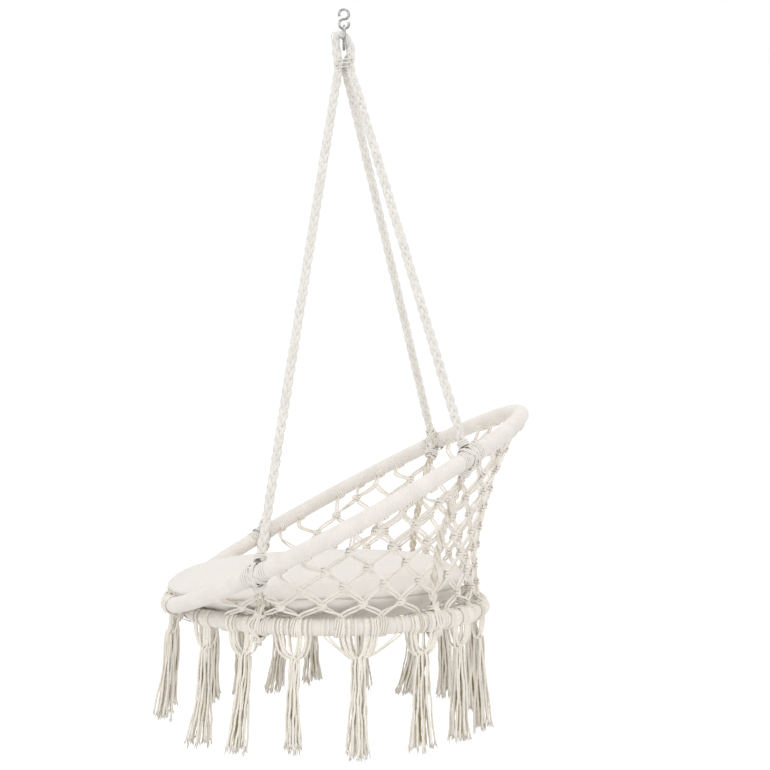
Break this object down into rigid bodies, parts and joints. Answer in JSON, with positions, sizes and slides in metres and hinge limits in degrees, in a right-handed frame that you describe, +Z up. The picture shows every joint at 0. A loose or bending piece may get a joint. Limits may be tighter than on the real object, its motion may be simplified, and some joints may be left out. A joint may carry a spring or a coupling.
{
  "type": "hammock chair",
  "caption": "Hanging chair of two cord-wrapped hoops joined by a knotted cotton net, with a round cushion, tassels, ropes, a ring and an S-hook.",
  "frame": {"origin": "the point inside the S-hook's upper bight where it bears on what it hangs from", "axes": "+Z up through the hook; -X is where the sitter faces and the hoops meet; +X is the raised back; -Y is the sitter's left"},
  "size_m": [0.7148, 0.7994, 1.392],
  "materials": {
    "hardware": "zinc-plated steel wire, satin",
    "hoop_tube": "steel tube, coated, hidden under its cord wrap",
    "rope": "plaited cotton rope, off-white, matt",
    "hoop_wrap": "cotton cord wound tight round the tube, off-white, matt",
    "net_cord": "knotted twisted cotton cord, ecru, matt",
    "tassel_cord": "loose twisted cotton strands with frayed ends, ecru, matt",
    "cushion_cover": "plain woven cotton cover over a soft filling, off-white, matt"
  },
  "bodies": {
    "hook": {"s_hook": "hardware"},
    "ring": {"hanging_ring": "hardware"},
    "chair": {"left_rope": "rope", "right_rope": "rope", "rope_lashing": "net_cord", "seat_hoop": "hoop_tube", "seat_wrap_rear": "hoop_wrap", "seat_wrap_right": "hoop_wrap", "seat_wrap_front": "hoop_wrap", "seat_wrap_left": "hoop_wrap", "back_hoop": "hoop_tube", "back_wrap_rear": "hoop_wrap", "back_wrap_right": "hoop_wrap", "back_wrap_front": "hoop_wrap", "back_wrap_left": "hoop_wrap", "rear_left_rope_knot": "rope", "rear_left_braid": "net_cord", "rear_left_seat_knot": "net_cord", "rear_right_rope_knot": "rope", "rear_right_braid": "net_cord", "rear_right_seat_knot": "net_cord", "front_left_rope_knot": "rope", "front_left_braid": "net_cord", "front_left_seat_knot": "net_cord", "front_right_rope_knot": "rope", "front_right_braid": "net_cord", "front_right_seat_knot": "net_cord", "net_rear": "net_cord", "net_left": "net_cord", "net_right": "net_cord", "net_front_left": "net_cord", "net_front_right": "net_cord", "net_seat": "net_cord", "hoop_binding_1": "net_cord", "hoop_binding_2": "net_cord", "hoop_binding_3": "net_cord", "tassel_left_1": "tassel_cord", "tassel_left_2": "tassel_cord", "tassel_left_3": "tassel_cord", "tassel_left_4": "tassel_cord", "tassel_left_5": "tassel_cord", "tassel_left_6": "tassel_cord", "tassel_left_7": "tassel_cord", "tassel_right_1": "tassel_cord", "tassel_right_2": "tassel_cord", "tassel_right_3": "tassel_cord", "tassel_right_4": "tassel_cord", "tassel_right_5": "tassel_cord", "tassel_right_6": "tassel_cord", "tassel_right_7": "tassel_cord", "tassel_right_8": "tassel_cord", "tassel_front_1": "tassel_cord", "tassel_front_2": "tassel_cord"},
    "cushion": {"seat_cushion": "cushion_cover"}
  },
  "joints": [
    {"name": "side_swing", "type": "hinge", "parent": "hook", "child": "ring", "pos_m": [0, 0, -0.0355], "axis": [1, 0, 0], "range_deg": [-25, 25]},
    {"name": "fore_aft_swing", "type": "hinge", "parent": "ring", "child": "chair", "pos_m": [0, 0, -0.07515], "axis": [0, 1, 0], "range_deg": [-25, 25]},
    {"name": "cushion_lift", "type": "slide", "parent": "chair", "child": "cushion", "axis": [0, 0, 1], "range_m": [0, 0.15]}
  ]
}
